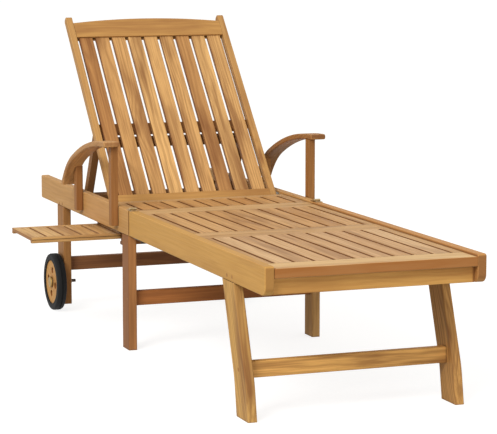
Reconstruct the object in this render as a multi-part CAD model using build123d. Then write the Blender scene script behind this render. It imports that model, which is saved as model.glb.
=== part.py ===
# A reclining teak sun lounger: a wheeled rear frame with curved arms, a folding foot section,
# a slatted backrest held up by a hinged prop, and a side tray that pulls out from under the frame.
# Millimetres. The floor is z = 0, +Z is up, +Y points to the head end, and the mid-plane is x = 0
# until the finished pieces are moved to the middle of their common box.
import os
from math import cos, radians, sin, tan

from build123d import *

# Rails: two foot rails and two rear rails in line, meeting at the fold line y = 0.
FRAME_W = 600.0          # over the rear rails
RAIL_T = 25.0            # rail thickness, across the lounger
RAIL_H = 74.0            # rail height
RAIL_TOP = 410.0         # rail top above the floor
FOOT_LEN = 1090.0        # fold line to foot end
REAR_LEN = 955.0         # fold line to head end
JOINT_GAP = 2.0          # between the rail ends at the fold line
FOLD_CLEAR = 2.0         # foot section narrower than the rear frame, each side
FOOT_NOSE_R = 22.0       # lower corner of a foot rail at the foot end
FOOT_TOP_R = 7.0         # upper corner of a foot rail at the foot end
REAR_NOSE_R = 6.0        # corners of a rear rail at the head end
EDGE_R = 3.0             # round-over along the edges of rails, legs and boards

# Slats and the cross boards that carry them.
SLAT_N = 9
SLAT_GAP = 8.15
SLAT_T = 15.0
SLAT_R = 2.0             # round-over along the top edges of a slat
DECK_DROP = 6.0          # slats below the rail tops
BOARD_T = 25.0           # cross boards of the deck
BOARD_W = 47.0           # cross boards at the fold line and at mid length
END_BOARD_W = 82.0       # cross board at the foot end
TONGUE_L = 8.0           # slat tongue in the groove of its cross board
TONGUE_T = 7.0
SEAT_CLEAR = 0.2         # glue line round tongues and at slat shoulders
MID_SEAM = 505.0         # fold line to the seam between the two foot panels
SEAM_GAP = 1.0
SEAT_LEN = 245.0         # fold line to the back edge of the seat panel
SEAT_REAR_W = 34.0       # cross board at the back of the seat panel
APRON_T = 22.0           # apron under the foot-end board
APRON_SET = 20.0         # apron behind the rail ends

# Legs and stretchers.
LEG_W = 62.0             # mid legs, along the lounger
REAR_LEG_W = 72.0        # rear legs, wider for the axle
FOOT_LEG_W = 80.0        # foot legs, square to their lean
STRETCHER_H = 42.5
STRETCHER_T = 24.0
FOOT_LEG_AT = 975.0      # fold line to the toe of the foot leg, at the floor
FOOT_LEG_LEAN = 20.0     # degrees, toe towards the foot end
TOE_LEAN = 10.0          # degrees, the leg bends steeper below the stretcher
TOE_H = 95.0             # bend above the floor
BEND_R = 300.0           # radius of the bend
FOOT_STRETCHER_Z = 121.5
MID_STRETCHER_Z = 149.0
REAR_LEG_AT = 690.0      # fold line to the front face of the rear leg
REAR_LEG_LIFT = 22.0     # rear leg above the floor
REAR_STRETCHER_Z = 148.0

# Wheels, turning on stub bolts through the rear legs.
WHEEL_D = 182.0
TYRE_SECTION = 21.0      # tyre, measured along the radius
WHEEL_W = 30.0
WHEEL_LEG_GAP = 5.0
RIM_W = 22.0             # wooden disc
HOLE_CIRCLE_R = 39.0     # four round holes in the disc
HOLE_D = 21.0
HOLE_TURN = 10.0         # degrees, the holes out of plumb as the wheel stands
HUB_R = 13.0             # steel bush in the disc
BUSH_SET = 2.0           # bush ends inside the tyre's width
TYRE_R = 6.0             # round shoulders of the tyre
AXLE_D = 10.0
AXLE_TAIL = 22.0         # bolt end beyond the inner face of the leg
NUT_AF = 17.0
NUT_T = 8.0
CAP_T = 6.0              # domed hub cap on the bolt's head
CAP_D = 34.0
COLLAR_AXLE_D = 20.0     # collar between wheel and leg
RUN_CLEAR = 0.06         # radial running clearance of pins and bushes

# Arms and posts.
ARM_W = 48.0             # across the lounger
ARM_T = 16.0
ARM_TOP = 602.0
ARM_TIP = 79.0           # fold line to the front end of the arm
ARM_R = 870.0            # long front curve of the arm's top
ARM_TURN = 23.8          # degrees, slope where the front curve ends
ARM_END_TURN = 57.8      # degrees, slope at the lower end
ARM_END_GAP = 18.0       # lower end above the rail
ARM_TIP_R = 6.0
POST_W = 21.0            # across the lounger
POST_D = 28.0            # along the lounger
POST_FOOT = 354.0        # lower end of the posts, lapped on the rail
FRONT_POST_AT = 96.0     # fold line to the front face of the front post
REAR_POST_AT = 463.0
POST_R = 2.0
ARM_EDGE_R = 4.0         # round-over along the arm's edges

# Backrest, drawn flat in its own frame: u up the backrest, w behind its front face.
BACK_ANGLE = 47.7        # degrees above the horizontal at rest
BACK_PIVOT_SET = 39.0    # back edge of the seat panel to the pivot
BACK_PIVOT_Z = 396.0
STILE_W = 20.0
STILE_GAP = 9.5          # between a stile and its rear rail
STILE_T = 25.0
STILE_FOOT = 28.0        # stile end below the pivot
STILE_LEN = 748.0
STILE_TOP_R = 8.0
BOTTOM_RAIL_H = 33.0
BOTTOM_RAIL_AT = -13.0   # lower edge of the bottom rail, from the pivot
BACK_SLAT_LEN = 616.0
TOP_RAIL_H = 58.0        # at its ends
TOP_RAIL_CROWN = 15.0
BACK_RAIL_T = 22.0
BACK_SLAT_SET = 5.0      # slat faces behind the front face
BACK_SLAT_T = 12.0
BACK_SLAT_GAP = 10.0
PIVOT_D = 10.0
PIVOT_SHORT = 1.0        # bolt end short of the stile's inner face
COLLAR_D = 22.0          # collar between rail and stile
PIVOT_IN_RAIL = 20.0     # bolt screwed into the rail from the inside
BATTEN_H = 32.0
BATTEN_T = 20.0

# Prop: a frame hinged to cleats behind the batten, with its lower bar on the notched racks.
PROP_PIVOT_U = 285.0     # up the backrest from the pivot
PROP_PIVOT_W = 27.0      # behind the backs of the stiles
PROP_LEAN = 28.3         # degrees from upright at rest
PROP_LEN = 238.0         # pivot to the middle of the lower bar
PROP_ARM_W = 26.0        # along the lounger
PROP_ARM_T = 22.0        # across the lounger
PROP_BAR_H = 30.0
PROP_BAR_T = 20.0
PROP_TOP_BAR_AT = 30.0   # pivot to the middle of the upper bar
CLEAT_T = 13.0
CLEAT_L = 26.0
CLEAT_BELOW = 12.0       # cleat beyond the prop pin
PROP_ROUND = 0.95        # rounding of the prop arm's top, as a share of a full half circle
PROP_SIDE_GAP = 2.0      # between a prop arm and its cleat
PROP_SET = 15.0          # prop arms inside the outer faces of the stiles
PROP_PIN_D = 8.0
RACK_T = 20.0
RACK_H = 40.0
RACK_Z = 340.0           # lower edge of the racks
RACK_SET = 314.0         # backrest pivot to the front end of the racks
RACK_L = 262.0
NOTCH_N = 5
NOTCH_W = 30.0           # mouth of a notch
NOTCH_SEAT = 14.0        # its flat bottom
NOTCH_D = 20.0
NOTCH_SET = 34.0         # front end of the rack to the stop face of the first notch
NOTCH_PITCH = 50.0

# Side tray and its two grooved runners.
TRAY_FRONT = 196.0       # fold line to the tray's front edge
TRAY_D = 232.0           # along the lounger
TRAY_TOP = 316.0
TRAY_T = 24.0            # height of the edge strips
TRAY_OUT = 235.0         # reach beyond the rear rail when pulled out
TRAY_SLAT_N = 7
TRAY_EDGE_W = 16.0       # edge strips along the front and back
TRAY_SLAT_T = 10.0
TRAY_GROOVE = 9.0        # depth of the runner groove
TRAY_CLEAR = 0.5
RUNNER_W = 22.0
RUNNER_LIP = 9.0         # wood under the groove
RUNNER_RISE = 30.0       # runner above the lower edge of the rails
RUNNER_CUT = 13.0        # runner ends cut back below the rails
RUNNER_SHOW = 2.0        # gap under the rails at the cut-back ends
EDGE_GROOVE = 2.0        # bead groove along the tray's edges
EDGE_GROOVE_AT = 6.0     # tray top to the groove

# Fold hinges on the rail tops, and the hook catches under the foot rails.
LEAF_L = 22.0
LEAF_T = 2.0
LEAF_W = 22.0
KNUCKLE_D = 8.0
HINGE_PIN_D = 4.0
KNUCKLE_GAP = 0.3
KNUCKLE_LIFT = 0.6       # barrels clear of the rail tops
CATCH_L = 70.0
CATCH_W = 16.0
CATCH_T = 3.0
CATCH_AT = 30.0          # fold line to the near end of the catch
CATCH_HOOK = 9.0

# Values that follow from the sizes above.
half_w = FRAME_W / 2
rail_bottom = RAIL_TOP - RAIL_H
rear_in = half_w - RAIL_T
foot_out = half_w - FOLD_CLEAR
foot_in = foot_out - RAIL_T
deck_top = RAIL_TOP - DECK_DROP
wheel_r = WHEEL_D / 2
axle_y = REAR_LEG_AT + REAR_LEG_W / 2
axle_z = wheel_r
hinge_z = RAIL_TOP + KNUCKLE_LIFT + KNUCKLE_D / 2
back_pivot_y = SEAT_LEN + BACK_PIVOT_SET
back_out = rear_in - STILE_GAP
back_in = back_out - STILE_W
slat_field = 2 * (back_in - SLAT_GAP)
slat_pitch = (slat_field + SLAT_GAP) / SLAT_N
slat_w = slat_pitch - SLAT_GAP
prop_out = back_out - PROP_SET
prop_in = prop_out - PROP_ARM_T

parts = {}


def bar(x, y, z, along=None, r=0.0):
    """A straight piece between two limits on each axis, rounded along its length."""
    middle = Pos((x[0] + x[1]) / 2, (y[0] + y[1]) / 2, (z[0] + z[1]) / 2)
    piece = middle * Box(x[1] - x[0], y[1] - y[0], z[1] - z[0])
    if along is not None:
        piece = fillet(piece.edges().filter_by(along), r)
    return piece


def side_face(points, corner_radii=()):
    """A closed outline in (y, z), with some corners rounded: ((y, z), radius) pairs."""
    face = make_face(Polyline(*points, close=True))
    for (y, z), r in corner_radii:
        corner = face.vertices().sort_by_distance((y, z, 0))[0]
        face = fillet(corner, r)
    return face


def plate(face, x0, x1):
    """A side outline made into a piece that runs from x0 to x1."""
    return extrude(Plane.YZ.offset(x0) * face, x1 - x0)


def both_sides(name, left):
    """Store a left-hand piece and its mirror image."""
    parts[name + "_left"] = left
    parts[name + "_right"] = mirror(left, Plane.YZ)


def mirrored_pair(name, left):
    """Store a left-hand piece and its mirror image as one group of two pieces."""
    parts[name] = Compound(children=[left, mirror(left, Plane.YZ)])


def rod_x(x0, x1, y, z, d):
    """A round rod across the lounger."""
    return Pos((x0 + x1) / 2, y, z) * Rot(0, 90, 0) * Cylinder(d / 2, abs(x1 - x0))


# Rear rails: straight planks with an eased head end.
rear_rail = side_face(
    [(JOINT_GAP / 2, rail_bottom), (REAR_LEN, rail_bottom), (REAR_LEN, RAIL_TOP), (JOINT_GAP / 2, RAIL_TOP)],
    [((REAR_LEN, RAIL_TOP), REAR_NOSE_R), ((REAR_LEN, rail_bottom), REAR_NOSE_R)],
)
rear_rail_piece = plate(rear_rail, -half_w, -rear_in)
pivot_hole = rod_x(-rear_in - PIVOT_IN_RAIL, -rear_in, back_pivot_y, BACK_PIVOT_Z, PIVOT_D)
rear_rail_piece = fillet(rear_rail_piece.edges().filter_by(Axis.Y), EDGE_R) - pivot_hole
both_sides("rear_rail", rear_rail_piece)

# Foot rails: the same plank, with the lower corner swept up at the foot end.
foot_rail = side_face(
    [
        (-FOOT_LEN, rail_bottom),
        (-JOINT_GAP / 2, rail_bottom),
        (-JOINT_GAP / 2, RAIL_TOP),
        (-FOOT_LEN, RAIL_TOP),
    ],
    [((-FOOT_LEN, RAIL_TOP), FOOT_TOP_R), ((-FOOT_LEN, rail_bottom), FOOT_NOSE_R)],
)
foot_rail_piece = plate(foot_rail, -foot_out, -foot_in)
foot_rail_piece = fillet(foot_rail_piece.edges().filter_by(Axis.Y), EDGE_R)
both_sides("foot_rail", foot_rail_piece)

# Legs stand under the rails. The foot legs lean, cut level at the floor and under the rail.
mid_leg = (JOINT_GAP / 2, JOINT_GAP / 2 + LEG_W)
both_sides("mid_leg", bar((-half_w, -rear_in), mid_leg, (0, rail_bottom), Axis.Z, EDGE_R))
rear_leg = (REAR_LEG_AT, REAR_LEG_AT + REAR_LEG_W)
axle_hole = rod_x(-half_w, -rear_in, axle_y, axle_z, AXLE_D)
rear_leg_piece = bar((-half_w, -rear_in), rear_leg, (REAR_LEG_LIFT, rail_bottom), Axis.Z, EDGE_R)
both_sides("rear_leg", rear_leg_piece - axle_hole)
lean_w = FOOT_LEG_W / cos(radians(FOOT_LEG_LEAN))
toe_y = -FOOT_LEG_AT
bend_y = toe_y + TOE_H * tan(radians(TOE_LEAN))
knee_y = bend_y + (rail_bottom - TOE_H) * tan(radians(FOOT_LEG_LEAN))
foot_leg = side_face(
    [
        (toe_y, 0),
        (toe_y + lean_w, 0),
        (bend_y + lean_w, TOE_H),
        (knee_y + lean_w, rail_bottom),
        (knee_y, rail_bottom),
        (bend_y, TOE_H),
    ],
    [((bend_y, TOE_H), BEND_R), ((bend_y + lean_w, TOE_H), BEND_R)],
)
foot_leg_piece = plate(foot_leg, -foot_out, -foot_in)
leg_sides = foot_leg_piece.edges().filter_by(Axis.X, reverse=True).filter_by(Axis.Y, reverse=True)
both_sides("foot_leg", fillet(leg_sides, EDGE_R))


def stretcher(y_mid, z_mid, reach):
    """A flat rail between two legs, on edge."""
    y = (y_mid - STRETCHER_T / 2, y_mid + STRETCHER_T / 2)
    z = (z_mid - STRETCHER_H / 2, z_mid + STRETCHER_H / 2)
    return bar((-reach, reach), y, z, Axis.X, EDGE_R)


foot_leg_mid = bend_y + lean_w / 2 + (FOOT_STRETCHER_Z - TOE_H) * tan(radians(FOOT_LEG_LEAN))
parts["foot_stretcher"] = stretcher(foot_leg_mid, FOOT_STRETCHER_Z, foot_in)
parts["mid_stretcher"] = stretcher(sum(mid_leg) / 2, MID_STRETCHER_Z, rear_in)
parts["rear_stretcher"] = stretcher(axle_y, REAR_STRETCHER_Z, rear_in)


# Deck panels: cross boards grooved along their inner edges, with tongued slats and side strips between.
def groove_levels(clear=0.0):
    """Lower and upper face of a tongue, or of its groove with a clearance."""
    mid = deck_top - SLAT_T / 2
    return (mid - TONGUE_T / 2 - clear, mid + TONGUE_T / 2 + clear)


def cross_board(y0, y1, reach, grooves):
    """A cross board between the rails, with a groove at each y listed."""
    board = bar((-reach, reach), (y0, y1), (deck_top - BOARD_T, deck_top), Axis.X, SLAT_R)
    for edge, inward in grooves:
        deep = edge + inward * (TONGUE_L + SEAT_CLEAR)
        board -= bar((-reach, reach), sorted((edge, deep)), groove_levels(SEAT_CLEAR))
    return board


def deck_slat(x0, x1, y0, y1):
    """A slat between boards at y0 and y1, with a tongue at each end."""
    body = bar((x0, x1), (y0 + SEAT_CLEAR, y1 - SEAT_CLEAR), (deck_top - SLAT_T, deck_top))
    top = body.faces().sort_by(Axis.Z)[-1]
    body = fillet(top.edges().filter_by(Axis.Y), SLAT_R)
    return body + bar((x0, x1), (y0 - TONGUE_L, y1 + TONGUE_L), groove_levels())


def slat_row(y0, y1):
    """The nine slats of one panel."""
    first = -slat_field / 2
    starts = [first + i * slat_pitch for i in range(SLAT_N)]
    return Compound(children=[deck_slat(x, x + slat_w, y0, y1) for x in starts])


def side_strips(y0, y1, reach):
    """The two narrow strips between the outer slats and the rails."""
    edge = slat_field / 2 + SLAT_GAP
    wall = reach - SEAT_CLEAR
    return [deck_slat(-wall, -edge, y0, y1), deck_slat(edge, wall, y0, y1)]


fold_board = (-JOINT_GAP / 2 - BOARD_W, -JOINT_GAP / 2)
upper_mid = (-MID_SEAM + SEAM_GAP / 2, -MID_SEAM + SEAM_GAP / 2 + BOARD_W)
lower_mid = (-MID_SEAM - SEAM_GAP / 2 - BOARD_W, -MID_SEAM - SEAM_GAP / 2)
end_board = (-FOOT_LEN, -FOOT_LEN + END_BOARD_W)
parts["fold_board"] = cross_board(*fold_board, foot_in, [(fold_board[0], 1)])
parts["upper_mid_board"] = cross_board(*upper_mid, foot_in, [(upper_mid[1], -1)])
parts["lower_mid_board"] = cross_board(*lower_mid, foot_in, [(lower_mid[0], 1)])
parts["foot_end_board"] = cross_board(*end_board, foot_in, [(end_board[1], -1)])
parts["upper_foot_slats"] = slat_row(upper_mid[1], fold_board[0])
parts["lower_foot_slats"] = slat_row(end_board[1], lower_mid[0])
upper_strips = side_strips(upper_mid[1], fold_board[0], foot_in)
lower_strips = side_strips(end_board[1], lower_mid[0], foot_in)
parts["foot_side_strips"] = Compound(children=upper_strips + lower_strips)
apron_y = (-FOOT_LEN + APRON_SET, -FOOT_LEN + APRON_SET + APRON_T)
parts["foot_apron"] = bar((-foot_in, foot_in), apron_y, (rail_bottom, deck_top - BOARD_T), Axis.X, SLAT_R)

seat_front = (JOINT_GAP / 2, JOINT_GAP / 2 + BOARD_W)
seat_rear = (SEAT_LEN - SEAT_REAR_W, SEAT_LEN)
parts["seat_front_board"] = cross_board(*seat_front, rear_in, [(seat_front[1], -1)])
parts["seat_rear_board"] = cross_board(*seat_rear, rear_in, [(seat_rear[0], 1)])
parts["seat_slats"] = slat_row(seat_front[1], seat_rear[0])
parts["seat_side_strips"] = Compound(children=side_strips(seat_front[1], seat_rear[0], rear_in))

# Arms: a wide strip that runs nearly level over the front post, then curves down behind the rear post.
# The posts are lapped on the outer faces of the rear rails and cut to the arm's underside.
turn = radians(ARM_TURN)
end_turn = radians(ARM_END_TURN)
arm_end_z = RAIL_TOP + ARM_END_GAP
arm_end_r = (ARM_TOP - arm_end_z - ARM_R * (1 - cos(turn))) / (cos(turn) - cos(end_turn))
arm_centre = Vector(ARM_TIP, ARM_TOP - ARM_R)
end_centre = arm_centre + Vector(sin(turn), cos(turn)) * (ARM_R - arm_end_r)


def arm_line(depth):
    """The arm's two curves, from the lower end to the tip, at a depth below its top."""
    end = CenterArc(end_centre, arm_end_r - depth, 90 - ARM_END_TURN, ARM_END_TURN - ARM_TURN)
    front = CenterArc(arm_centre, ARM_R - depth, 90 - ARM_TURN, ARM_TURN)
    return end, front


upper_end, upper_front = arm_line(0)
lower_end, lower_front = arm_line(ARM_T)
arm_ends = [Line(upper_end @ 0, lower_end @ 0), Line(upper_front @ 1, lower_front @ 1)]
arm_face = make_face(Curve() + [upper_end, upper_front, lower_end, lower_front] + arm_ends)
for corner in (upper_front @ 1, lower_front @ 1):
    arm_face = fillet(arm_face.vertices().sort_by_distance(corner)[0], ARM_TIP_R)
arm_end = upper_end @ 0
arm_face -= Pos(arm_end.X, arm_end.Y - ARM_T) * Rectangle(4 * ARM_T, 2 * ARM_T)
arm = plate(arm_face, -half_w - ARM_W, -half_w)
long_edges = arm.edges().filter_by(GeomType.CIRCLE)
arm = fillet([e for e in long_edges if e.length > POST_D], ARM_EDGE_R)
both_sides("arm", arm)

arm_crest = ARM_TOP + ARM_T
above_arm = make_face(
    Curve()
    + [
        lower_end,
        lower_front,
        Line(lower_end @ 0, (arm_end.X, arm_crest)),
        Line((arm_end.X, arm_crest), (ARM_TIP, arm_crest)),
        Line((ARM_TIP, arm_crest), lower_front @ 1),
    ]
)


def arm_post(y0):
    """A square post from the rail up to the underside of the arm."""
    post = bar((-half_w - POST_W, -half_w), (y0, y0 + POST_D), (POST_FOOT, ARM_TOP), Axis.Z, POST_R)
    return post - plate(above_arm, -half_w - ARM_W, 0)


mirrored_pair("front_arm_posts", arm_post(FRONT_POST_AT))
mirrored_pair("rear_arm_posts", arm_post(REAR_POST_AT))

# Backrest, drawn lying flat about its pivot, then raised. Up the backrest is y, its front face is up.
back_frame = Pos(0, back_pivot_y, BACK_PIVOT_Z) * Rot(BACK_ANGLE, 0, 0)
stile_front = STILE_T / 2
stile_end = STILE_LEN - STILE_FOOT
stile_side = side_face(
    [
        (-STILE_FOOT, -stile_front),
        (stile_end, -stile_front),
        (stile_end, stile_front),
        (-STILE_FOOT, stile_front),
    ],
    [
        ((stile_end, stile_front), STILE_TOP_R),
        ((stile_end, -stile_front), STILE_TOP_R),
        ((-STILE_FOOT, stile_front), STILE_TOP_R),
        ((-STILE_FOOT, -stile_front), STILE_TOP_R),
    ],
)
stile = plate(stile_side, -back_out, -back_in)
stile = fillet(stile.edges().filter_by(Axis.Y), SLAT_R)
stile -= rod_x(-back_out, -back_in, 0, 0, PIVOT_D + 2 * RUN_CLEAR)
both_sides("back_stile", back_frame * stile)

bottom_rail_top = BOTTOM_RAIL_AT + BOTTOM_RAIL_H
top_rail_low = bottom_rail_top + BACK_SLAT_LEN
top_rail_high = top_rail_low + TOP_RAIL_H
rail_back = stile_front - BACK_RAIL_T
back_slat_top = stile_front - BACK_SLAT_SET
back_slat_low = back_slat_top - BACK_SLAT_T
back_tongue_mid = (back_slat_top + back_slat_low) / 2
back_tongue = (back_tongue_mid - TONGUE_T / 2, back_tongue_mid + TONGUE_T / 2)
back_slat_w = slat_pitch - BACK_SLAT_GAP


def back_groove(edge, inward):
    """The groove for the slat tongues along one edge of a backrest rail."""
    levels = (back_tongue[0] - SEAT_CLEAR, back_tongue[1] + SEAT_CLEAR)
    return bar((-back_in, back_in), sorted((edge, edge + inward * (TONGUE_L + SEAT_CLEAR))), levels)


bottom_rail_y = (BOTTOM_RAIL_AT, bottom_rail_top)
bottom_rail = bar((-back_in, back_in), bottom_rail_y, (rail_back, stile_front), Axis.X, SLAT_R)
parts["back_bottom_rail"] = back_frame * (bottom_rail - back_groove(bottom_rail_top, -1))

crown_line = Curve() + [
    Line((-back_in, top_rail_high), (-back_in, top_rail_low)),
    Line((-back_in, top_rail_low), (back_in, top_rail_low)),
    Line((back_in, top_rail_low), (back_in, top_rail_high)),
    ThreePointArc((back_in, top_rail_high), (0, top_rail_high + TOP_RAIL_CROWN), (-back_in, top_rail_high)),
]
top_rail = extrude(Pos(0, 0, rail_back) * make_face(crown_line), BACK_RAIL_T)
crown_edges = [e for e in top_rail.edges() if e.geom_type == GeomType.CIRCLE]
top_rail = fillet(crown_edges, EDGE_R)
parts["back_top_rail"] = back_frame * (top_rail - back_groove(top_rail_low, 1))


def back_slat(x0):
    """One backrest slat, tongued at both ends."""
    y = (bottom_rail_top + SEAT_CLEAR, top_rail_low - SEAT_CLEAR)
    body = bar((x0, x0 + back_slat_w), y, (back_slat_low, back_slat_top))
    front = body.faces().sort_by(Axis.Z)[-1]
    body = fillet(front.edges().filter_by(Axis.Y), SLAT_R)
    tongue = bar((x0, x0 + back_slat_w), (bottom_rail_top - TONGUE_L, top_rail_low + TONGUE_L), back_tongue)
    return back_frame * (body + tongue)


first_back_slat = -back_in + (SLAT_GAP + BACK_SLAT_GAP) / 2
parts["back_slats"] = Compound(children=[back_slat(first_back_slat + i * slat_pitch) for i in range(SLAT_N)])

# Batten across the backs of the slats, and two cleats behind it that carry the prop.
batten_y = (PROP_PIVOT_U - BATTEN_H / 2, PROP_PIVOT_U + BATTEN_H / 2)
batten = bar((-back_in, back_in), batten_y, (back_slat_low - BATTEN_T, back_slat_low), Axis.X, SLAT_R)
parts["back_batten"] = back_frame * batten
prop_w = -stile_front - PROP_PIVOT_W
cleat_top = back_slat_low - BATTEN_T
cleat_low = prop_w - CLEAT_BELOW
cleat_y = (PROP_PIVOT_U - CLEAT_L / 2, PROP_PIVOT_U + CLEAT_L / 2)
cleat_side = side_face(
    [(cleat_y[0], cleat_top), (cleat_y[1], cleat_top), (cleat_y[1], cleat_low), (cleat_y[0], cleat_low)],
    [((cleat_y[0], cleat_low), CLEAT_BELOW), ((cleat_y[1], cleat_low), CLEAT_BELOW)],
)
cleat_x = (-prop_in + PROP_SIDE_GAP, -prop_in + PROP_SIDE_GAP + CLEAT_T)
cleat = plate(cleat_side, *cleat_x) - rod_x(*cleat_x, PROP_PIVOT_U, prop_w, PROP_PIN_D)
mirrored_pair("prop_cleats", back_frame * cleat)
prop_pin = rod_x(-prop_out, cleat_x[1], PROP_PIVOT_U, prop_w, PROP_PIN_D)
mirrored_pair("prop_pins", back_frame * prop_pin)

# Prop: two arms with rounded tops and two cross bars, drawn hanging from the pivot, then swung back.
tilt = radians(BACK_ANGLE)
prop_pivot_y = back_pivot_y + PROP_PIVOT_U * cos(tilt) - prop_w * sin(tilt)
prop_pivot_z = BACK_PIVOT_Z + PROP_PIVOT_U * sin(tilt) + prop_w * cos(tilt)
prop_frame = Pos(0, prop_pivot_y, prop_pivot_z) * Rot(PROP_LEAN, 0, 0)
arm_half = PROP_ARM_W / 2
prop_foot = -PROP_LEN - PROP_BAR_H / 2
prop_side = side_face(
    [(-arm_half, prop_foot), (arm_half, prop_foot), (arm_half, arm_half), (-arm_half, arm_half)],
    [((-arm_half, arm_half), arm_half * PROP_ROUND), ((arm_half, arm_half), arm_half * PROP_ROUND)],
)
prop_arm = plate(prop_side, -prop_out, -prop_in)
prop_arm -= rod_x(-prop_out, -prop_in, 0, 0, PROP_PIN_D + 2 * RUN_CLEAR)
mirrored_pair("prop_arms", prop_frame * prop_arm)


def prop_bar(z_mid):
    """A cross bar between the prop arms."""
    y = (-PROP_BAR_T / 2, PROP_BAR_T / 2)
    return bar((-prop_in, prop_in), y, (z_mid - PROP_BAR_H / 2, z_mid + PROP_BAR_H / 2), Axis.X, EDGE_R)


parts["prop_top_bar"] = prop_frame * prop_bar(-PROP_TOP_BAR_AT)
parts["prop_lower_bar"] = prop_frame * prop_bar(-PROP_LEN)

# Notched racks on the inner faces of the rear rails, one notch for each backrest position.
rack_top = RACK_Z + RACK_H
rack_y = (back_pivot_y + RACK_SET, back_pivot_y + RACK_SET + RACK_L)
rack_side = side_face(
    [(rack_y[0], RACK_Z), (rack_y[1], RACK_Z), (rack_y[1], rack_top), (rack_y[0], rack_top)],
)
for i in range(NOTCH_N):
    notch_y = rack_y[0] + NOTCH_SET + i * NOTCH_PITCH
    slope = [(notch_y - NOTCH_W, rack_top), (notch_y, rack_top), (notch_y, rack_top - NOTCH_D)]
    seat = [(notch_y - NOTCH_SEAT, rack_top - NOTCH_D)]
    rack_side -= side_face(slope + seat)
mirrored_pair("prop_racks", plate(rack_side, -rear_in, -rear_in + RACK_T))

# Backrest pivot bolts: screwed into the rail from the inside, with a collar in the gap
# and a plain end in the stile.
bolt = rod_x(-rear_in - PIVOT_IN_RAIL, -back_in - PIVOT_SHORT, back_pivot_y, BACK_PIVOT_Z, PIVOT_D)
bolt += rod_x(-rear_in, -back_out - KNUCKLE_GAP, back_pivot_y, BACK_PIVOT_Z, COLLAR_D)
mirrored_pair("back_pivot_bolts", bolt)

# Side tray: slats between two edge strips that slide in grooved runners fixed between the rear rails.
tray_x0 = -half_w - TRAY_OUT
tray_x1 = tray_x0 + TRAY_SLAT_N * slat_pitch - SLAT_GAP
tray_y = (TRAY_FRONT, TRAY_FRONT + TRAY_D)
tray_low = TRAY_TOP - TRAY_T
for name, y0 in (("tray_front_edge", tray_y[0]), ("tray_rear_edge", tray_y[1] - TRAY_EDGE_W)):
    strip = bar((tray_x0, tray_x1), (y0, y0 + TRAY_EDGE_W), (tray_low, TRAY_TOP), Axis.X, SLAT_R)
    face = y0 if y0 == tray_y[0] else y0 + TRAY_EDGE_W
    bead_z = (TRAY_TOP - EDGE_GROOVE_AT - EDGE_GROOVE, TRAY_TOP - EDGE_GROOVE_AT)
    parts[name] = strip - bar((tray_x0, tray_x1), (face - EDGE_GROOVE, face + EDGE_GROOVE), bead_z)


def tray_slat(x0):
    """One tray slat between the edge strips, its top level with theirs."""
    y = (tray_y[0] + TRAY_EDGE_W + SEAT_CLEAR, tray_y[1] - TRAY_EDGE_W - SEAT_CLEAR)
    body = bar((x0, x0 + slat_w), y, (TRAY_TOP - TRAY_SLAT_T, TRAY_TOP))
    top = body.faces().sort_by(Axis.Z)[-1]
    return fillet(top.edges().filter_by(Axis.Y), SLAT_R)


parts["tray_slats"] = Compound(children=[tray_slat(tray_x0 + i * slat_pitch) for i in range(TRAY_SLAT_N)])


def tray_runner(edge, outward):
    """A grooved runner along one edge of the tray, its ends cut back where they hang below the rails."""
    groove_y = sorted((edge - outward * TRAY_GROOVE, edge + outward * TRAY_CLEAR))
    runner_y = sorted((edge - outward * TRAY_GROOVE, edge + outward * (RUNNER_W - TRAY_GROOVE)))
    groove_z = (tray_low - TRAY_CLEAR, TRAY_TOP + TRAY_CLEAR)
    cut_x = rear_in - RUNNER_CUT
    head_z = (rail_bottom + RUNNER_SHOW, rail_bottom + RUNNER_RISE)
    runner = bar((-cut_x, cut_x), runner_y, (groove_z[0] - RUNNER_LIP, head_z[1]))
    runner += bar((-rear_in, rear_in), runner_y, head_z)
    return runner - bar((-cut_x, cut_x), groove_y, groove_z)


parts["tray_front_runner"] = tray_runner(tray_y[0], -1)
parts["tray_rear_runner"] = tray_runner(tray_y[1], 1)

# Wheels: a wooden disc with four round holes and a steel bush, in a rubber tyre.
wheel_x1 = -half_w - WHEEL_LEG_GAP
wheel_mid = wheel_x1 - WHEEL_W / 2
rim_r = wheel_r - TYRE_SECTION
on_axle = Pos(wheel_mid, axle_y, axle_z) * Rot(0, 90, 0)
tyre = Cylinder(wheel_r, WHEEL_W)
tyre = fillet(tyre.edges().filter_by(GeomType.CIRCLE), TYRE_R)
both_sides("tyre", on_axle * (tyre - Cylinder(rim_r, WHEEL_W)))
disc = Cylinder(rim_r, RIM_W) - Cylinder(HUB_R, RIM_W)
for turn in range(4):
    disc -= Rot(0, 0, HOLE_TURN + 90 * turn) * Pos(HOLE_CIRCLE_R, 0, 0) * Cylinder(HOLE_D / 2, RIM_W)
both_sides("wheel_disc", on_axle * disc)
bush_w = WHEEL_W - 2 * BUSH_SET
both_sides("wheel_bush", on_axle * (Cylinder(HUB_R, bush_w) - Cylinder(AXLE_D / 2 + RUN_CLEAR, bush_w)))

# Stub axles: a domed bolt through the wheel and the leg, with a collar outside and a nut inside.
axle_head = wheel_mid - bush_w / 2 - KNUCKLE_GAP
axle = rod_x(axle_head, -rear_in + AXLE_TAIL, axle_y, axle_z, AXLE_D)
axle += rod_x(wheel_mid + bush_w / 2 + KNUCKLE_GAP, -half_w, axle_y, axle_z, COLLAR_AXLE_D)
cap = rod_x(axle_head - CAP_T, axle_head, axle_y, axle_z, CAP_D)
cap = fillet(cap.edges().sort_by(Axis.X)[0], CAP_T / 2)
mirrored_pair("axle_bolts", axle + cap)
nut_hex = RegularPolygon(NUT_AF / 2, 6, major_radius=False)
nut = extrude(nut_hex, NUT_T) - Pos(0, 0, NUT_T / 2) * Cylinder(AXLE_D / 2, NUT_T)
mirrored_pair("axle_nuts", Pos(-rear_in, axle_y, axle_z) * Rot(0, 90, 0) * nut)

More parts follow.
